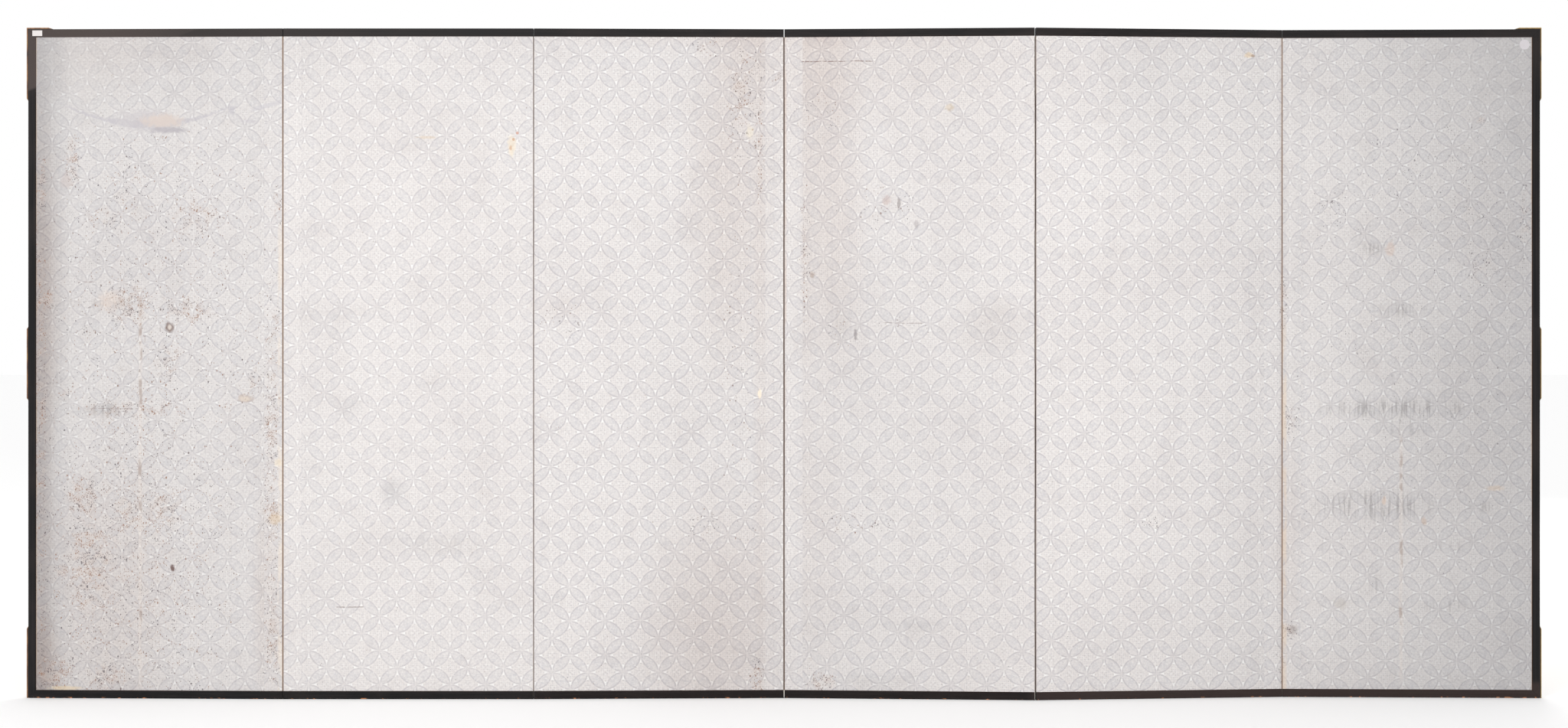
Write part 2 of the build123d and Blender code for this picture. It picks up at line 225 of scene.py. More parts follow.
class Finish:
    """A material, with short words for the nodes it is made of."""

    def __init__(self, name, dimensions="3D", **sockets):
        self.material = bpy.data.materials.new(name)
        self.material.use_nodes = True
        self.tree = self.material.node_tree
        self.surface = self.tree.nodes["Principled BSDF"]
        self.dimensions = dimensions
        for word, value in sockets.items():
            self.set(word, value)

    words = {
        "colour": "Base Color", "roughness": "Roughness", "metallic": "Metallic", "gloss": "Specular IOR Level",
        "sheen": "Sheen Weight", "normal": "Normal",
    }

    def set(self, word, value):
        self.feed(self.surface.inputs[self.words[word]], value)

    def feed(self, socket, value):
        value = value.socket if isinstance(value, Field) else value
        if isinstance(value, bpy.types.NodeSocket):
            self.tree.links.new(value, socket)
        else:
            socket.default_value = value

    def node(self, kind, **settings):
        node = self.tree.nodes.new("ShaderNode" + kind)
        for word, value in settings.items():
            setattr(node, word, value)
        return node

    def math(self, operation, *values):
        node = self.node("Math", operation=operation)
        for socket, value in zip(node.inputs, values):
            self.feed(socket, value)
        return Field(self, node.outputs[0])

    def largest(self, *fields):
        result = fields[0]
        for field in fields[1:]:
            result = self.math("MAXIMUM", result, field)
        return result

    def blend(self, share, low, high, how="MIX"):
        """One colour laid over another by a share."""
        node = self.node("Mix", data_type="RGBA", blend_type=how)
        for index, value in ((0, share), (6, low), (7, high)):
            self.feed(node.inputs[index], value)
        return node.outputs[2]

    def map(self, name):
        return self.node("UVMap", uv_map=name).outputs["UV"]

    def place(self):
        return self.node("TexCoord").outputs["Object"]

    def painted(self, name):
        """The three numbers of a colour that a piece carries, and its fourth."""
        node = self.node("Attribute", attribute_name=name)
        return (*self.parts(node.outputs["Vector"]), Field(self, node.outputs["Alpha"]))

    def parts(self, vector):
        """The three numbers of a vector."""
        node = self.node("SeparateXYZ")
        self.feed(node.inputs[0], vector)
        return [Field(self, socket) for socket in node.outputs]

    def stretched(self, vector, scales, offset=0.0):
        node = self.node("VectorMath", operation="MULTIPLY_ADD")
        self.feed(node.inputs[0], vector)
        self.feed(node.inputs[1], scales)
        self.feed(node.inputs[2], (offset, offset, offset))
        return node.outputs[0]

    def noise(self, vector, scales, detail=2.0, seed=0.0):
        """Cloudy noise around 0.5. Scales are features per metre, one number or three."""
        scales = scales if isinstance(scales, tuple) else (scales, scales, scales)
        node = self.node("TexNoise", noise_dimensions=self.dimensions)
        self.feed(node.inputs["Vector"], self.stretched(vector, scales, seed))
        self.feed(node.inputs["Scale"], 1.0)
        self.feed(node.inputs["Detail"], detail)
        return Field(self, node.outputs["Fac"])

    def cells(self, vector, scales, seed=0.0):
        """Scattered points: the distance to the nearest, in cells, and a number that is its own."""
        node = self.node("TexVoronoi", voronoi_dimensions=self.dimensions)
        self.feed(node.inputs["Vector"], self.stretched(vector, scales, seed))
        self.feed(node.inputs["Scale"], 1.0)
        lot, _, _ = self.parts(node.outputs["Color"])
        return Field(self, node.outputs["Distance"]), lot

    def relief(self, height, depth):
        """Bump from a field of height 0 to 1, depth metres deep."""
        node = self.node("Bump")
        self.feed(node.inputs["Strength"], 1.0)
        self.feed(node.inputs["Distance"], depth)
        self.feed(node.inputs["Height"], height)
        self.set("normal", node.outputs["Normal"])


# ---------------------------------------------------------------- printed back paper

def shippo(finish, across, up):
    """The marks of the printed pattern, from coordinates in radii: its fields run from 0 to 1."""
    s = (across + up) * 0.5
    t = (across - up) * 0.5
    s = s - s.math("ROUND")
    t = t - t.math("ROUND")
    x = abs(s + t)
    y = abs(s - t)
    from_next = finish.math("SQRT", (1 - x) * (1 - x) + (1 - y) * (1 - y))

    def bar(along, aside):
        """White bar that flares and whitens from the cusp towards the middle of the diamond."""
        from_cusp = 1 - along
        flare = from_cusp * from_cusp * 0.33 + 0.009 - aside
        return flare.ramp(-0.010, 0.012) * from_cusp.ramp(0.48, 0.43) * (from_cusp.ramp(0.12, 0.38) * 0.92 + 0.08)

    def dot(centre_x, centre_y, radius):
        away = finish.math("SQRT", (x - centre_x) * (x - centre_x) + (y - centre_y) * (y - centre_y))
        return away.ramp(radius + 0.025, radius - 0.02)

    turns = 2 * math.pi / net_spacing
    weave = (s * turns).math("COSINE") * (t * turns).math("COSINE")
    towards_cusp = abs(x - y).ramp(0.05, 0.50)
    return {
        "lens": from_next.ramp(1.0, 0.94) * (from_next.ramp(0.70, 0.92) * 0.10 + 0.95) * (1 - towards_cusp * 0.55),
        "arc": abs(from_next - outline_radius).ramp(0.062, 0.012) * (1 - finish.largest(x, y).ramp(0.74, 0.96) * 0.6),
        "bars": finish.largest(bar(x, y), bar(y, x)),
        "seeds": finish.largest(
            dot(0.53, 0, 0.045), dot(0, 0.53, 0.045), dot(0.1, 0.1, 0.035) * 0.7, dot(0, 0, 0.03) * 0.6
        ),
        "pearls": finish.largest(dot(0.15, 0, 0.045), dot(0, 0.15, 0.045)),
        "weave": weave.ramp(-0.3, 0.7) * (x + y).ramp(0.58, 0.35),
    }


def printed_paper():
    """Aged back paper, printed with linked circles in chalky white and silver grey."""
    finish = Finish("printed_back_paper", "2D", roughness=0.85, gloss=0.25)
    where = finish.map("place")
    x, z, _ = finish.parts(where)
    print_x, print_y, _ = finish.parts(finish.map("print"))
    edge_wear, strength, whiting, _ = finish.painted("paper")
    wander = finish.noise(where, 9.0, seed=3.0) - 0.5
    marks = shippo(finish, print_x + wander * 0.05, print_y - wander * 0.04)

    # How well each place took the print, and how much has since been rubbed off.
    fine = finish.noise(where, 900.0, detail=3.0, seed=1.0)
    grain = finish.noise(where, (170.0, 190.0, 1.0), detail=4.0, seed=2.0)
    mottle = finish.noise(where, 120.0, detail=3.0, seed=6.0) - 0.5
    taken = finish.noise(where, 26.0, detail=3.0, seed=5.0).ramp(0.20, 0.60) * 0.45 + 0.55
    inked = taken * strength

    ground = paint(236, 231, 228)
    lens_grey = paint(219, 216, 217)
    line_grey = paint(200, 195, 198)
    chalk = paint(255, 254, 252)
    seed_grey = paint(186, 180, 181)
    hatching = finish.largest(finish.noise(where, (420.0, 110.0, 1.0), detail=2.0, seed=9.0).ramp(0.48, 0.70),
                              finish.noise(where, (110.0, 380.0, 1.0), detail=2.0, seed=10.0).ramp(0.50, 0.70))
    colour = finish.blend(marks["weave"] * inked * 0.36, ground, line_grey)
    colour = finish.blend(marks["lens"] * inked * (mottle * 1.5 + 0.95), colour, lens_grey)
    colour = finish.blend(marks["lens"] * hatching * 0.65, colour, ground)
    colour = finish.blend(marks["arc"] * inked * 0.72, colour, line_grey)
    colour = finish.blend(marks["seeds"] * inked * 0.50, colour, seed_grey)
    whites = finish.largest(marks["bars"], marks["pearls"] * 0.45)
    colour = finish.blend(whites * (taken * 0.4 + 0.6) * whiting, colour, chalk)
    colour = finish.blend(grain.ramp(0.50, 0.70) * 0.38, colour, paint(204, 200, 201))
    colour = finish.blend(grain.ramp(0.46, 0.30) * 0.45, colour, paint(249, 246, 243))
    colour = finish.blend(fine.ramp(0.50, 0.80) * 0.30, colour, paint(203, 198, 197))

    colour = aged_and_shaded(finish, colour, where, x, z)
    browner_edge = x.ramp(0.9, 1.1) * z.band(0.85, 0.40, 0.15)
    worn_and_shaded_edge = finish.blend(browner_edge, paint(160, 132, 112), paint(132, 96, 74))
    # At the middle joint the turned-over paper is darker still: brown soil and painted shade in the gap.
    worn_and_shaded_edge = finish.blend(x.band(gap_centre(3), 0.05, 0.01), worn_and_shaded_edge, paint(108, 86, 73))
    colour = finish.blend(edge_wear, colour, worn_and_shaded_edge)
    finish.set("colour", colour)
    relief = marks["bars"] * 0.25 + marks["pearls"] * 0.25 + grain * 0.5 + fine * 0.4
    finish.relief(relief, 0.12 * MM)
    return finish.material


def aged_and_shaded(finish, colour, where, x, z):
    """Old paper: grime, foxing, rubbing and stains, each where it lies on the screen, under the painted shade of the
    uneven light.
    """

    def tone(share, tint):
        nonlocal colour
        colour = finish.blend(share, colour, tint, "MULTIPLY")

    def mark(share, tint):
        nonlocal colour
        colour = finish.blend(share, colour, tint)

    def spot(centre_x, centre_z, half_width, half_height, ragged=0.5):
        """A soft, ragged patch, in millimetres."""
        along = (x - centre_x * MM) * (1 / (half_width * MM))
        up = (z - centre_z * MM) * (1 / (half_height * MM))
        away = finish.math("SQRT", along * along + up * up) + (edge - 0.5) * (2 * ragged)
        return away.ramp(1.15, 0.45)

    edge = finish.noise(where, 90.0, detail=4.0, seed=11.0)
    clouds = finish.noise(where, 3.2, detail=3.0, seed=13.0)
    blotches = finish.noise(where, 14.0, detail=4.0, seed=17.0)
    shade, warmth, specks, rubbing = finish.painted("age_and_shade")

    # Painted shade of the uneven light and grey stains, a little cooler where darker.
    tone(shade, (0.0, 0.02, 0.05, 1.0))
    tone(warmth, (0.80, 0.72, 0.68, 1.0))
    tone(clouds.ramp(0.42, 0.72), (0.965, 0.96, 0.96, 1.0))
    tone(blotches.ramp(0.52, 0.72) * 0.8, (0.955, 0.95, 0.95, 1.0))

    # Foxing: small dark and brown specks in clusters, on a faint brown bloom.
    clumps = finish.noise(where, 55.0, detail=3.0, seed=29.0).ramp(0.38, 0.60) * 0.8 + 0.2
    density = (specks * 1.15 + 0.03) * clumps
    browner = finish.noise(where, 24.0, seed=43.0).ramp(0.40, 0.60) * x.ramp(0.5, 0.1)
    speck_tint = finish.blend(browner, paint(104, 98, 102), paint(150, 118, 100))
    mark(density.ramp(0.10, 0.90) * 0.30, paint(198, 180, 170))
    for scales, most, size, strength in (
        ((310.0, 220.0, 1.0), 0.70, 0.38, 0.80), ((140.0, 100.0, 1.0), 0.50, 0.27, 0.85),
    ):
        distance, lot = finish.cells(where, scales, seed=scales[0])
        dots = (distance + (edge - 0.5) * 0.5).ramp(size, size - 0.14)
        mark(dots * (density * most - lot).ramp(0.0, 0.03) * (x.ramp(1.5, 1.3) * 0.25 + 0.75) * strength, speck_tint)

    # Rubbing over the bars of the hidden lattice: short upright scratches.
    scratches = finish.noise(where, (150.0, 10.0, 1.0), detail=3.0, seed=31.0).ramp(0.47, 0.62)
    breaks = finish.noise(where, (26.0, 12.0, 1.0), detail=3.0, seed=37.0).ramp(0.27, 0.48)
    mark(rubbing * breaks * 0.22, paint(170, 167, 168))
    mark(scratches * breaks * rubbing * 0.60, paint(132, 127, 127))
    mark(browner * breaks * rubbing * 0.18, paint(200, 164, 132))

    # A curved grey smear near the top of the first panel, scuffed in its middle.
    off_middle = x + 1.5925
    smear_line = off_middle * off_middle * 1.093 + 1.4392
    smear_half = abs(off_middle).ramp(0.16, 0.0) * (8 * MM) + 1.5 * MM
    smear = (smear_half - abs(z - smear_line + (edge - 0.5) * 0.012)).ramp(-4 * MM, 1 * MM)
    mark(smear * x.band(-1.60, 0.17, 0.06) * (clumps * 0.4 + 0.4), paint(186, 182, 187))
    for place, strength, tint in (
        ((-1600, 1452, 84, 30), 0.55, paint(190, 185, 188)), ((-1560, 1449, 60, 20), 0.75, paint(210, 196, 187)),
        ((-1544, 1426, 60, 9), 0.75, paint(172, 167, 172)), ((-1383, 1476, 10, 14), 0.6, paint(184, 180, 186)),
        ((-1339, 1447, 28, 5), 0.5, paint(192, 187, 191)),
    ):
        mark(spot(*place) * strength, tint)
    stroke = (3 * MM - abs(z - x * 0.27 - 1.836)).ramp(-5 * MM, 0.0)
    mark(stroke * x.band(-1.295, 0.028, 0.02) * 0.5, paint(192, 189, 194))

    # Two old creases down the middle of the outer panels, brown where the dirt caught.
    caught = finish.noise(where, (30.0, 22.0, 1.0), detail=3.0, seed=47.0)
    for crease, low, high in ((-1.6146, 0.02, 0.99), (1.552, 0.03, 0.66)):
        ran = x + (blotches - 0.5) * 0.006
        run = z.ramp(high + 0.05, high - 0.05) * z.ramp(low, low + 0.03)
        mark(ran.band(crease, 1 * MM, 6 * MM) * run * 0.22, paint(226, 214, 204))
        mark(ran.band(crease, 2 * MM, 4 * MM) * run * caught.ramp(0.50, 0.62) * breaks * 0.55, paint(150, 130, 120))

    # Cream and brown stains beside the worn joints, and thin dark lines where strips and sheets end: at the joints
    # partly soil and partly painted shade in the gaps, and at the strips' edges a faint painted shade.
    stained = finish.noise(where, (60.0, 11.0, 1.0), detail=3.0, seed=41.0).ramp(0.36, 0.60)
    joint_1, joint_3, joint_5 = (gap_centre(joint) for joint in WORN_JOINTS)
    mark(x.ramp(joint_1 - 16 * MM, joint_1 - 8 * MM) * x.ramp(joint_1 + 1 * MM, joint_1) * stained * z.ramp(1.3, 1.1)
         * 0.45, paint(236, 222, 206))
    mark(x.ramp(joint_5, joint_5 + 1 * MM) * x.ramp(joint_5 + 14 * MM, joint_5 + 7 * MM) * stained * z.ramp(1.0, 0.85)
         * 0.55, paint(224, 204, 182))
    for joint in JOINTS:
        # A darker line at every joint, stronger at the worn ones: painted shade in the gap, with soil at the worn
        # joints.
        mark(x.band(gap_centre(joint), 2 * MM, 2 * MM) * (0.25 if joint in WORN_JOINTS else 0.10), paint(190, 174, 162))
    # The middle joint's line painted dark brown: soil and painted shade in its gap.
    mark(x.band(joint_3, 1.4 * MM, 0.9 * MM) * 0.92, paint(78, 56, 43))
    mark(x.band(joint_3 + 4 * MM, 1 * MM, 2 * MM) * stained * z.ramp(0.5, 1.0) * 0.25, paint(214, 180, 156))
    for side in (-1, 1):
        mark(x.band(side * 1.879, 1 * MM, 3 * MM) * stained * 0.5, paint(190, 166, 140))
    # A faint grey line at the strips' edges and the last seam: painted shade of their edges.
    seam_shade = finish.largest(*(x.band(place, 0.4 * MM, 1.2 * MM) for place in seam_places()))
    mark(seam_shade * edge.ramp(0.35, 0.60) * 0.05, paint(186, 180, 182))

    # Thin dark lines lying across.
    for start, end, height, strength in (
        (46, 227, 1598, 0.75), (-1769, -1731, 1045, 0.6), (-1740, -1621, 727, 0.35), (252, 348, 942, 0.4),
        (-1120, -1055, 231, 0.6),
    ):
        run = x.band((start + end) / 2 * MM, (end - start) / 2 * MM, 4 * MM)
        line = abs(z - height * MM + (blotches - 0.5) * 0.006).ramp(1.8 * MM, 0.6 * MM)
        mark(line * run * edge.ramp(0.35, 0.55) * strength, paint(128, 104, 98))

    # Single stains.
    tan, grey, cream, brown = paint(212, 186, 150), paint(186, 184, 188), paint(250, 238, 210), paint(118, 96, 88)
    for place, strength, tint in (
        ((-1540, 931, 13, 15), 0.8, brown), ((-1540, 932, 6, 8), 0.9, paint(214, 204, 196)),
        ((-1349, 753, 22, 13), 0.45, paint(170, 144, 126)), ((-1350, 752, 14, 8), 0.5, paint(228, 216, 202)),
        ((-1694, 999, 30, 28), 0.35, paint(226, 210, 198)), ((-1533, 327, 7, 10), 0.9, paint(108, 82, 78)),
        ((-1272, 452, 20, 18), 0.45, tan), ((-1266, 592, 12, 13), 0.5, paint(232, 216, 190)),
        ((-682, 1387, 12, 30), 0.5, paint(238, 220, 190)), ((-678, 1402, 4, 5), 0.6, paint(190, 136, 96)),
        ((-684, 1380, 4, 7), 0.5, paint(200, 150, 110)), ((-668, 1418, 4, 4), 0.6, paint(200, 120, 80)),
        ((-897, 1407, 28, 4), 0.35, tan), ((415, 1481, 13, 10), 0.6, paint(196, 178, 154)),
        ((412, 1483, 6, 5), 0.6, paint(226, 216, 204)), ((1170, 1616, 13, 8), 0.6, paint(216, 192, 158)),
        ((1182, 1614, 5, 5), 0.6, paint(150, 124, 104)),
        ((179, 913, 5, 17), 0.6, paint(134, 126, 128)), ((288, 1241, 5, 17), 0.5, paint(120, 108, 108)),
        ((257, 1249, 13, 15), 0.5, paint(196, 176, 170)), ((332, 1188, 7, 12), 0.4, paint(150, 142, 144)),
        ((71, 1063, 8, 9), 0.45, paint(150, 122, 102)), ((-61, 765, 6, 13), 0.8, paint(252, 236, 214)),
        ((-85, 1422, 10, 21), 0.35, cream), ((1525, 1128, 15, 21), 0.35, paint(204, 176, 158)),
        ((1400, 235, 20, 15), 0.4, paint(184, 176, 168)), ((1787, 527, 28, 8), 0.35, paint(202, 178, 152)),
        ((-1804, 25, 44, 6), 0.6, paint(222, 202, 168)), ((1279, 169, 14, 14), 0.35, brown),
        ((-1802, 1299, 17, 23), 0.35, paint(186, 170, 166)), ((-985, 521, 34, 38), 0.16, grey),
        ((-1085, 734, 36, 20), 0.08, grey), ((1510, 494, 6, 13), 0.4, paint(214, 184, 160)),
        ((1610, 444, 8, 12), 0.4, paint(190, 160, 136)),
    ):
        mark(spot(*place) * strength, tint)
    return colour


# ---------------------------------------------------------------- lacquer, metal, papers

def lacquer(name, along):
    """Worn black lacquer, streaked along the bar, with a painted sheen along the top of the frame
    and chips down to the wood at the foot.
    """
    finish = Finish(name, gloss=0.22)
    place = finish.place()
    x, _, z = finish.parts(place)
    streaks = finish.noise(place, (3.0, 260.0, 260.0) if along == "X" else (260.0, 260.0, 3.0), detail=4.0)
    clouds = finish.noise(place, 7.0, detail=3.0, seed=4.0)
    colour = finish.blend(streaks.ramp(0.40, 0.70), paint(9, 8, 10), paint(27, 23, 24))
    colour = finish.blend(clouds.ramp(0.45, 0.75) * 0.6, colour, paint(38, 31, 30))
    # A painted sheen: the top of the frame lighter, more over the left panels, as the light falls on it. A slanted
    # patch at the top left is lighter too.
    lighter_top_left = x.ramp(-1.20, -1.75) * (z - (x + 1.9) * 0.35).ramp(1.520, 1.530)
    painted_top_sheen = z.ramp(1.50, 1.60) * (x.ramp(-0.85, -1.35) * 0.28 + 0.09)
    colour = finish.blend(finish.largest(lighter_top_left, painted_top_sheen), colour, paint(68, 59, 56))
    colour = finish.blend(x.band(0.0, 0.60, 0.05) * z.ramp(0.05, 0.03) * 0.35, colour, paint(28, 12, 8))
    colour = finish.blend(x.ramp(0.60, 0.64) * z.ramp(0.05, 0.03) * 0.6, colour, paint(60, 46, 42))
    # The bar's edge by the paper, a little redder where the lacquer is thin, and the mitres at the corners.
    if along == "X":
        by_paper = finish.largest(z.band(paper_high, 0.0, 2.0 * MM), z.band(paper_low, 0.0, 2.0 * MM))
    else:
        by_paper = abs(x).band(paper_side, 0.0, 1.6 * MM)
    colour = finish.blend(by_paper * 0.6, colour, paint(70, 48, 36) if along == "X" else paint(120, 84, 58))
    top_mitre = paper_side - paper_high
    foot_mitre = paper_side + paper_low
    mitres = finish.largest(
        (abs(x) - z).band(top_mitre, 0.2 * MM, 0.7 * MM), (abs(x) + z).band(foot_mitre, 0.2 * MM, 0.7 * MM)
    )
    colour = finish.blend(mitres * abs(x).ramp(paper_side - 1 * MM, paper_side) * 0.7, colour, paint(14, 12, 12))
    nicks = finish.noise(place, (90.0, 90.0, 260.0), detail=2.0, seed=8.0) + abs(x).ramp(1.60, 1.86) * 0.10
    chips = nicks.ramp(0.64, 0.68) * z.ramp(3.4 * MM, 1.8 * MM)
    colour = finish.blend(chips, colour, paint(206, 138, 92))
    finish.set("colour", colour)
    finish.set("roughness", streaks * 0.25 + chips * 0.3 + 0.28)
    finish.relief(streaks * 0.6 + clouds * 0.4 - chips, 0.1 * MM)
    return finish.material


def fitting_metal():
    """Copper and brass fittings, rubbed bright on their outer faces and dark on their sides."""
    finish = Finish("fitting_metal")
    place = finish.place()
    x, y, z = finish.parts(place)
    stile_face = cad_box[1][0] - fitting_rise
    outer = finish.largest(
        abs(x).ramp(stile_face + 0.4 * MM, stile_face + 1.6 * MM),
        z.ramp(screen_top + 1.0 * MM, screen_top + 2.2 * MM),
    )
    clouds = finish.noise(place, (60.0, 60.0, 22.0), detail=4.0, seed=2.0)
    dots, _ = finish.cells(place, (620.0, 620.0, 620.0))
    ground = dots.ramp(0.55, 0.15)
    metal = finish.blend(clouds.ramp(0.40, 0.62), paint(146, 98, 64), paint(206, 152, 100))
    golden = finish.largest(x.ramp(1.0, 1.6) * 0.75, finish.noise(place, 18.0, seed=5.0).ramp(0.58, 0.70) * 0.8)
    metal = finish.blend(golden, metal, paint(204, 172, 92))
    patina = finish.blend(clouds.ramp(0.35, 0.70), paint(36, 32, 33), paint(70, 55, 46))
    colour = finish.blend(outer * clouds.ramp(0.28, 0.42), patina, metal)
    colour = finish.blend((1 - ground) * outer * 0.4, colour, paint(70, 48, 34))
    finish.set("colour", colour)
    finish.set("metallic", outer * 0.35 + 0.15)
    finish.set("roughness", clouds * 0.3 + 0.32)
    finish.relief(ground * outer, 0.15 * MM)
    return finish.material


def tack_metal():
    finish = Finish("tack_metal", metallic=0.9)
    place = finish.place()
    rubbed = finish.noise(place, 320.0, detail=3.0)
    finish.set("colour", finish.blend(rubbed.ramp(0.40, 0.65), paint(110, 76, 44), paint(206, 166, 96)))
    finish.set("roughness", rubbed * 0.35 + 0.2)
    finish.relief(rubbed, 0.05 * MM)
    return finish.material


def hinge_paper():
    """Paper of the hinge strips, soiled brown at the worn joints,
    and painted dark at the middle joint as the shade in its gap.
    """
    finish = Finish("hinge_paper", roughness=0.95, gloss=0.05)
    place = finish.place()
    fibres = finish.noise(place, (700.0, 700.0, 130.0), detail=4.0)
    soil = finish.noise(place, (30.0, 30.0, 6.0), detail=3.0, seed=7.0)
    x, _, _ = finish.parts(place)
    worn = finish.largest(*(x.band(gap_centre(joint), 0.10, 0.02) for joint in WORN_JOINTS))
    colour = finish.blend(worn, paint(206, 194, 186), paint(176, 144, 120))
    # Painted shade: the strips deep in the middle joint's gap painted dark.
    colour = finish.blend(x.band(gap_centre(3), 0.10, 0.02), colour, paint(78, 60, 50))
    colour = finish.blend(soil.ramp(0.45, 0.70) * 0.6, colour, paint(112, 88, 74))
    colour = finish.blend(fibres.ramp(0.50, 0.80) * 0.4, colour, paint(212, 192, 170))
    finish.set("colour", colour)
    finish.relief(fibres, 0.1 * MM)
    return finish.material


def gold_leaf():
    """Squares of gold leaf laid edge over edge on paper, with worn seams."""
    finish = Finish("gold_leaf", metallic=0.8)
    place = finish.place()
    x, _, z = finish.parts(place)
    leaf = 107 * MM
    columns = (x * (1 / leaf)) + (finish.noise(place, 1.5) - 0.5) * 0.06
    rows = (z * (1 / leaf)) + (finish.noise(place, 1.5, seed=6.0) - 0.5) * 0.06
    lap = finish.largest(
        abs(columns.math("FRACT") - 0.5).ramp(0.465, 0.485), abs(rows.math("FRACT") - 0.5).ramp(0.465, 0.485)
    )
    tile = finish.node("CombineXYZ")
    finish.feed(tile.inputs[0], columns.math("FLOOR"))
    finish.feed(tile.inputs[2], rows.math("FLOOR"))
    lot = finish.node("TexWhiteNoise")
    finish.feed(lot.inputs["Vector"], tile.outputs[0])
    shade = Field(finish, lot.outputs["Value"])
    fine = finish.noise(place, 260.0, detail=4.0)
    clouds = finish.noise(place, 12.0, detail=4.0, seed=3.0)
    colour = finish.blend(shade, paint(186, 152, 92), paint(196, 163, 104))
    colour = finish.blend(lap * 0.4, colour, paint(210, 182, 126))
    colour = finish.blend(clouds.ramp(0.50, 0.75) * 0.35, colour, paint(158, 122, 74))
    colour = finish.blend(fine.ramp(0.66, 0.78) * 0.5, colour, paint(150, 104, 60))
    finish.set("colour", colour)
    finish.set("roughness", fine * 0.25 + shade * 0.08 + 0.30)
    finish.relief(fine * 0.6 + lap * 0.4, 0.08 * MM)
    return finish.material


def brocade():
    """Woven silk border: small gold lozenges on a dark green ground."""
    finish = Finish("brocade", roughness=0.7, sheen=0.3)
    place = finish.place()
    x, _, z = finish.parts(place)
    motif = 12 * MM
    s = ((x + z) * (1 / motif)).math("FRACT") - 0.5
    t = ((x - z) * (1 / motif)).math("FRACT") - 0.5
    lozenge = finish.largest(abs(s), abs(t))
    warp = 0.5 * MM
    weft = 0.45 * MM
    threads = (x * (2 * math.pi / warp)).math("SINE") * (z * (2 * math.pi / weft)).math("SINE")
    worn = finish.noise(place, 40.0, detail=4.0)
    colour = finish.blend(worn, paint(36, 58, 50), paint(58, 82, 70))
    colour = finish.blend(lozenge.band(0.30, 0.06, 0.03) * 0.85, colour, paint(178, 146, 84))
    colour = finish.blend(lozenge.ramp(0.10, 0.07) * 0.9, colour, paint(196, 164, 98))
    finish.set("colour", colour)
    finish.relief(threads * 0.5 + lozenge.ramp(0.36, 0.24), 0.15 * MM)
    return finish.material


def cedar():
    finish = Finish("cedar", roughness=0.75)
    place = finish.place()
    rings = finish.noise(place, (8.0, 120.0, 8.0), detail=4.0)
    fibres = finish.noise(place, (14.0, 900.0, 14.0), detail=3.0, seed=5.0)
    colour = finish.blend(rings.ramp(0.35, 0.65), paint(214, 178, 132), paint(184, 140, 94))
    colour = finish.blend(fibres.ramp(0.5, 0.8) * 0.4, colour, paint(158, 114, 74))
    finish.set("colour", colour)
    finish.relief(rings * 0.5 + fibres * 0.5, 0.15 * MM)
    return finish.material


def label_paper():
    finish = Finish("label_paper", roughness=0.6)
    place = finish.place()
    fibres = finish.noise(place, 700.0, detail=3.0)
    soil = finish.noise(place, 90.0, detail=3.0, seed=2.0)
    x, _, _ = finish.parts(place)
    # Painted shade: the round label at the right greyer than the square one at the left, as the light falls off towards
    # the right.
    colour = finish.blend(x.ramp(-1.0, 1.0), paint(219, 214, 211), paint(203, 198, 201))
    colour = finish.blend(soil.ramp(0.50, 0.75) * 0.5, colour, paint(196, 190, 190))
    finish.set("colour", finish.blend(fibres.ramp(0.6, 0.8) * 0.3, colour, paint(190, 185, 184)))
    finish.relief(fibres, 0.05 * MM)
    return finish.material


# ================================================================ places, read from the frame

# From a panel's middle plane: the middle of its front sheet, the face of its back paper and the front of its core.
front_sheet_middle = 8.2 * MM
back_face = -9.0 * MM
core_face = 7.8 * MM
fitting_rise = 4.0 * MM              # of the metal over the stiles' outer faces
# The papers' foot and top. The rails below and above them are equally high.
paper_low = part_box("front_sheet_1")[0][2]
paper_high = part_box("front_sheet_1")[1][2]
screen_top = paper_low + paper_high


def panel_frame(panel):
    """A panel's own frame, from the lower left end of its papers, and the papers' width."""
    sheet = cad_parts[f"front_sheet_{panel}"]
    corners = sorted({(round(v.co.x, 6), round(v.co.y, 6)) for v in sheet.data.vertices})
    half = len(corners) // 2
    left = sum((Vector(corner) for corner in corners[:half]), Vector((0, 0))) / half
    right = sum((Vector(corner) for corner in corners[half:]), Vector((0, 0))) / half
    run = right - left
    bearing = math.atan2(run.y, run.x)
    turn = Matrix.Rotation(bearing, 4, "Z")
    place = Matrix.Translation((left.x, left.y, 0)) @ turn @ Matrix.Translation((0, -front_sheet_middle, 0))
    return place, run.length


panel_frames = {panel: panel_frame(panel) for panel in PANELS}


def end_of(panel, side):
    """Where a panel's back paper ends along the screen."""
    place, width = panel_frames[panel]
    return (place @ Vector((0 if side == "left" else width, back_face, 0))).x


def gap_centre(joint):
    """The middle of the gap between two panels, along the screen, at the back."""
    return (end_of(joint, "right") + end_of(joint + 1, "left")) / 2


def seam_places():
    """Where the edges of the pasted strips lie along the screen, and one seam near the last stile."""
    places = [end_of(6, "right") - last_seam_inset]
    for panel, side in strip_print:
        places.append(end_of(panel, side) + (strip_width if side == "left" else -strip_width))
    return places


paper_side = end_of(6, "right")


# ================================================================ pieces

def cockle(panel, x, z):
    """How far old paper stands off the core, from 0 at its pasted edges."""
    waves = noise.noise(Vector((x * 5.0, z * 1.6, panel * 7.3)))
    waves += 0.5 * noise.noise(Vector((x * 13.0, z * 5.0, panel * 3.1 + 50)))
    from_edge = min(z - paper_low, paper_high - z) / cockle_fade
    return cockle_height * waves * min(max(from_edge, 0.0), 1.0)


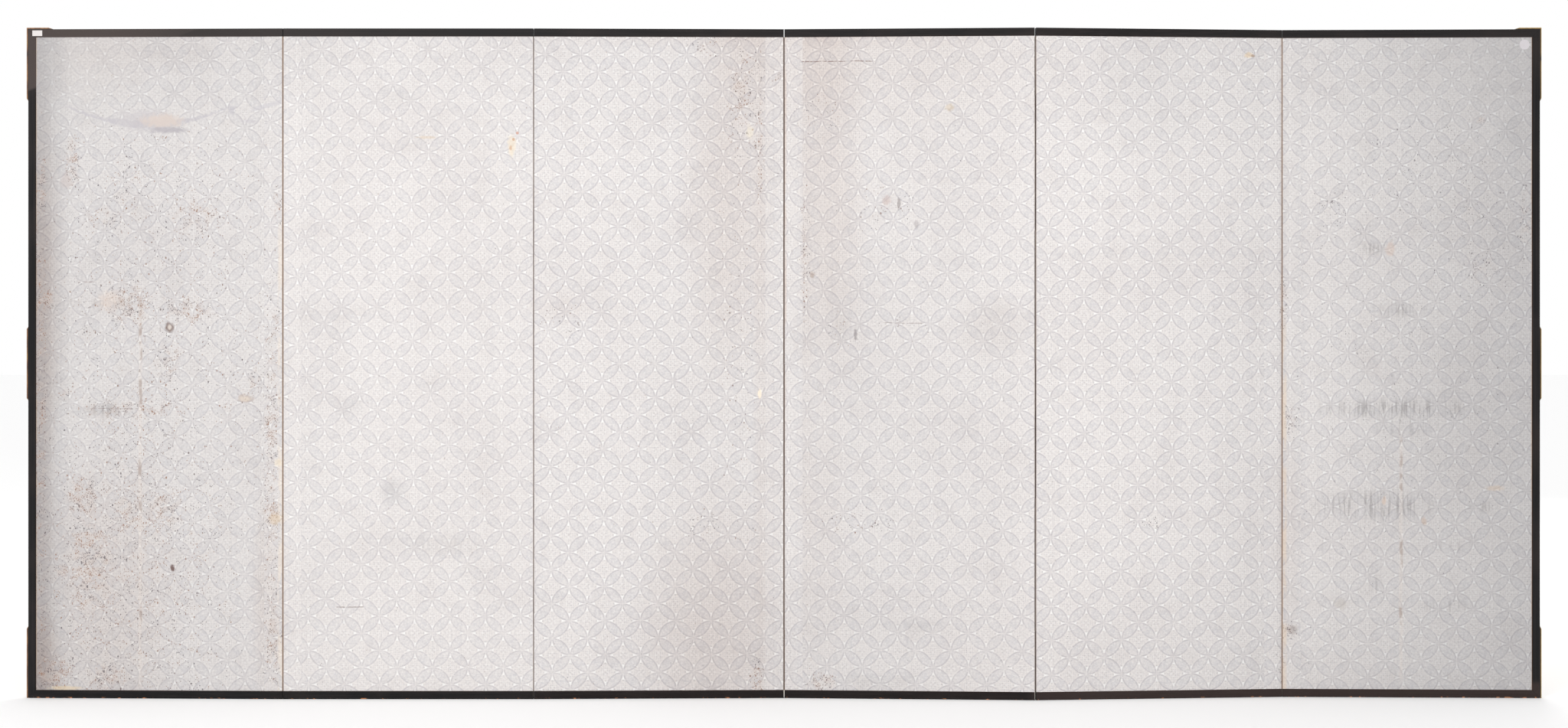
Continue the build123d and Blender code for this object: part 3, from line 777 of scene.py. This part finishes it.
def ovals(places, x, z):
    """How much of some soft oval places reaches a point."""
    total = 0.0
    for centre_x, centre_z, half_width, half_height, strength in places:
        across = (x / MM - centre_x) / half_width
        if abs(across) < 1:
            away = across ** 2 + ((z / MM - centre_z) / half_height) ** 2
            total += strength * max(1 - away, 0.0) ** 1.5
    return total


def rise(value, low, high):
    share = min(max((value - low) / (high - low), 0.0), 1.0)
    return share * share * (3 - 2 * share)


def age_and_shade_at(panel, x, z, pasted_on):
    """How much painted shade of the uneven light and of grey stains the paper carries, and how warm, speckled and
    rubbed it is. Strips pasted on later are cleaner and carry less painted shade.
    """
    # Painted shade of the uneven light: darker over the left half and at the top, on the first panel towards its left
    # edge, and on the fifth and sixth panels towards the right.
    shade = 0.08 - 0.035 * rise(x, -0.4, 0.3) + 0.06 * rise(z, 1.30, 1.75) + ovals(shade_and_grey_stain_places, x, z)
    shade += {
        1: 0.09 + 0.05 * rise(-x, 1.3, 1.8) + 0.21 * rise(-x, 1.76, 1.9),
        2: 0.03 * rise(-x, 1.0, 1.25),
        5: 0.30 * max(x - 0.6, 0) ** 2,
        6: 0.095 + 0.41 * (x - 1.3),
    }.get(panel, 0.0)
    # Strips carry less of the painted shade and less warm soiling.
    lighter_and_cleaner = 0.85 if pasted_on else 1.0
    return (shade * lighter_and_cleaner, min(ovals(warm_places, x, z), 1.0) * lighter_and_cleaner ** 4, min(ovals(speckled_places, x, z), 1.0),
            min(ovals(rubbed_places, x, z), 1.0))


def back_sheet(name, panel, start, end, setting, lift=0.0, turned=()):
    """A printed sheet on a panel's back, from start to end of its width, turned over the free edges."""
    place, width = panel_frames[panel]
    columns = max(2, round((end - start) / grid_step))
    rows = round((paper_high - paper_low) / grid_step)
    bm = bmesh.new()
    bmesh.ops.create_grid(bm, x_segments=columns, y_segments=rows, size=0.5)
    bmesh.ops.scale(bm, verts=bm.verts, vec=(end - start, paper_high - paper_low, 1))
    bmesh.ops.rotate(bm, verts=bm.verts, matrix=Matrix.Rotation(math.radians(90), 3, "X"))
    middle = ((start + end) / 2, back_face - lift, (paper_low + paper_high) / 2)
    bmesh.ops.translate(bm, verts=bm.verts, vec=middle)
    for side in turned:
        limit = start if side == "left" else end
        rim = [e for e in bm.edges if e.is_boundary and all(abs(v.co.x - limit) < same_place for v in e.verts)]
        made = bmesh.ops.extrude_edge_only(bm, edges=rim)["geom"]
        new_points = [g for g in made if isinstance(g, bmesh.types.BMVert)]
        bmesh.ops.translate(bm, verts=new_points, vec=(0, strip_turned_depth if lift else core_face - back_face, 0))
        bmesh.ops.bevel(bm, geom=rim, offset=turned_round, segments=2, profile=0.5, affect="EDGES", material=-1)
    bmesh.ops.recalc_face_normals(bm, faces=bm.faces)
    if sum(face.normal.y * face.calc_area() for face in bm.faces) > 0:
        bmesh.ops.reverse_faces(bm, faces=bm.faces)

    print_map = bm.loops.layers.uv.new("print")
    place_map = bm.loops.layers.uv.new("place")
    set_across, set_up, lean = setting
    start_x = (place @ Vector((0, back_face, 0))).x
    for face in bm.faces:
        for loop in face.loops:
            x, y, z = loop.vert.co
            turned_in = max(y - back_face, 0.0)
            flat_x = x - turned_in if x < (start + end) / 2 else x + turned_in
            along = start_x + flat_x
            shift = lean * (z / screen_top - 0.5)
            loop[print_map].uv = (
                along / print_radius_across - set_across - shift,
                z / print_radius_up - set_up,
            )
            loop[place_map].uv = (along, z)
    # Each point's painted shade and grey stains, warm soiling, specks and rubbing.
    age_and_shade = bm.verts.layers.float_color.new("age_and_shade")
    paper = bm.verts.layers.float_vector.new("paper")
    _, _, _, grey, white = panel_print[panel]
    for vert in bm.verts:
        x, y, z = vert.co
        over_edge = y > back_face + turned_from
        joint = panel if x > width / 2 else panel - 1
        wear = (worn_joint_wear if joint in WORN_JOINTS else other_joint_wear) if over_edge else 0.0
        vert[age_and_shade] = age_and_shade_at(panel, start_x + x, z, lift > 0)
        vert[paper] = (wear, grey * (1 - min(ovals(faint_places, start_x + x, z), 1.0)), white)
        if not over_edge:
            vert.co.y -= cockle(panel, x, z)
    bmesh.ops.transform(bm, matrix=place, verts=bm.verts)
    for edge in bm.edges:
        edge.smooth = edge.is_manifold and edge.calc_face_angle() < sharp_turn
    piece = as_piece(bm, name)
    thickness = piece.modifiers.new("thickness", "SOLIDIFY")
    thickness.thickness = sheet_thickness
    thickness.offset = -1.0
    piece.data.materials.append(finishes["back_paper"])
    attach(piece, f"panel_{panel}")
    return piece


def as_piece(bm, name):
    mesh = bpy.data.meshes.new(name)
    bm.to_mesh(mesh)
    bm.free()
    for polygon in mesh.polygons:
        polygon.use_smooth = True
    piece = bpy.data.objects.new(name, mesh)
    bpy.context.scene.collection.objects.link(piece)
    return piece


def back_papers():
    """Each panel's printed sheet, and the strips pasted over its edges at the worn joints."""
    for panel in PANELS:
        _, width = panel_frames[panel]
        turned = [side for side, inner in (("left", panel > 1), ("right", panel < 6)) if inner]
        sheet = back_sheet(f"printed_sheet_{panel}", panel, 0.0, width, panel_print[panel][:3], turned=turned)
        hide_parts(f"back_paper_{panel}")
    for (panel, side), (from_joint, set_up) in strip_print.items():
        _, width = panel_frames[panel]
        joint = panel if side == "right" else panel - 1
        past = strip_overhang[joint]
        start, end = (-past, strip_width) if side == "left" else (width - strip_width, width + past)
        set_across = gap_centre(joint) / print_radius_across + from_joint
        back_sheet(f"joint_strip_{panel}", panel, start, end, (set_across, set_up, 0.0), strip_lift, [side])


def dress_solids():
    """Gives each solid of the frame its finish."""
    for node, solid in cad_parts.items():
        kind = node.rstrip("0123456789_")
        finish = finishes[node_finish[kind]]
        for slot in solid.material_slots:
            slot.material = finish
        if not solid.material_slots:
            solid.data.materials.append(finish)


node_finish = {
    "core_lattice": "cedar",
    "back_paper": "back_paper",
    "front_sheet": "gold_leaf",
    "front_border": "brocade",
    "top_rail": "rail",
    "bottom_rail": "rail",
    "link_strips": "hinge_paper",
    "crossing_strips": "hinge_paper",
    "left_stile": "stile",
    "right_stile": "stile",
    "left_top_corner_fitting": "fitting_metal",
    "left_middle_fitting": "fitting_metal",
    "left_foot_corner_fitting": "fitting_metal",
    "right_top_corner_fitting": "fitting_metal",
    "right_middle_fitting": "fitting_metal",
    "right_foot_corner_fitting": "fitting_metal",
    "left_tacks": "tack_metal",
    "right_tacks": "tack_metal",
    "square_label": "label_paper",
    "round_label": "label_paper",
}


# ================================================================ stage

def studio():
    """A plain white floor, soft white light all round and a large lamp before and behind the screen."""
    bm = bmesh.new()
    bmesh.ops.create_grid(bm, x_segments=1, y_segments=1, size=floor_half_width)
    floor = as_piece(bm, "studio_floor")
    pale = Finish("pale_floor", roughness=0.9, gloss=0.1, colour=(0.97, 0.97, 0.97, 1.0))
    floor.data.materials.append(pale.material)

    world = bpy.data.worlds.new("studio")
    world.use_nodes = True
    background = world.node_tree.nodes["Background"]
    background.inputs["Color"].default_value = (1.0, 1.0, 1.0, 1.0)
    background.inputs["Strength"].default_value = 1.0
    bpy.context.scene.world = world

    for name, place in (("key_lamp", (-2.6, -5.2, 3.8)), ("front_lamp", (2.4, 5.0, 3.6))):
        light = bpy.data.lights.new(name, "AREA")
        light.shape = "DISK"
        light.size = lamp_size
        light.energy = lamp_power
        lamp = bpy.data.objects.new(name, light)
        lamp.location = place
        lamp.rotation_euler = (lamp_aim - Vector(place)).to_track_quat("-Z", "Y").to_euler()
        bpy.context.scene.collection.objects.link(lamp)
    bpy.context.scene.view_settings.view_transform = "Standard"


def camera():
    data = bpy.data.cameras.new("view")
    data.sensor_width = sensor_width
    data.lens = sensor_width * camera_distance / view_width
    data.shift_y = (view_centre_height - camera_height) / view_width
    viewer = bpy.data.objects.new("view", data)
    viewer.location = (0.0, -camera_distance, camera_height)
    viewer.rotation_euler = (math.radians(90), 0.0, 0.0)
    bpy.context.scene.collection.objects.link(viewer)
    bpy.context.scene.camera = viewer


camera()
studio()
finishes = {
    "back_paper": printed_paper(),
    "rail": lacquer("lacquered_rail", "X"),
    "stile": lacquer("lacquered_stile", "Z"),
    "fitting_metal": fitting_metal(),
    "tack_metal": tack_metal(),
    "hinge_paper": hinge_paper(),
    "gold_leaf": gold_leaf(),
    "brocade": brocade(),
    "cedar": cedar(),
    "label_paper": label_paper(),
}
dress_solids()
back_papers()
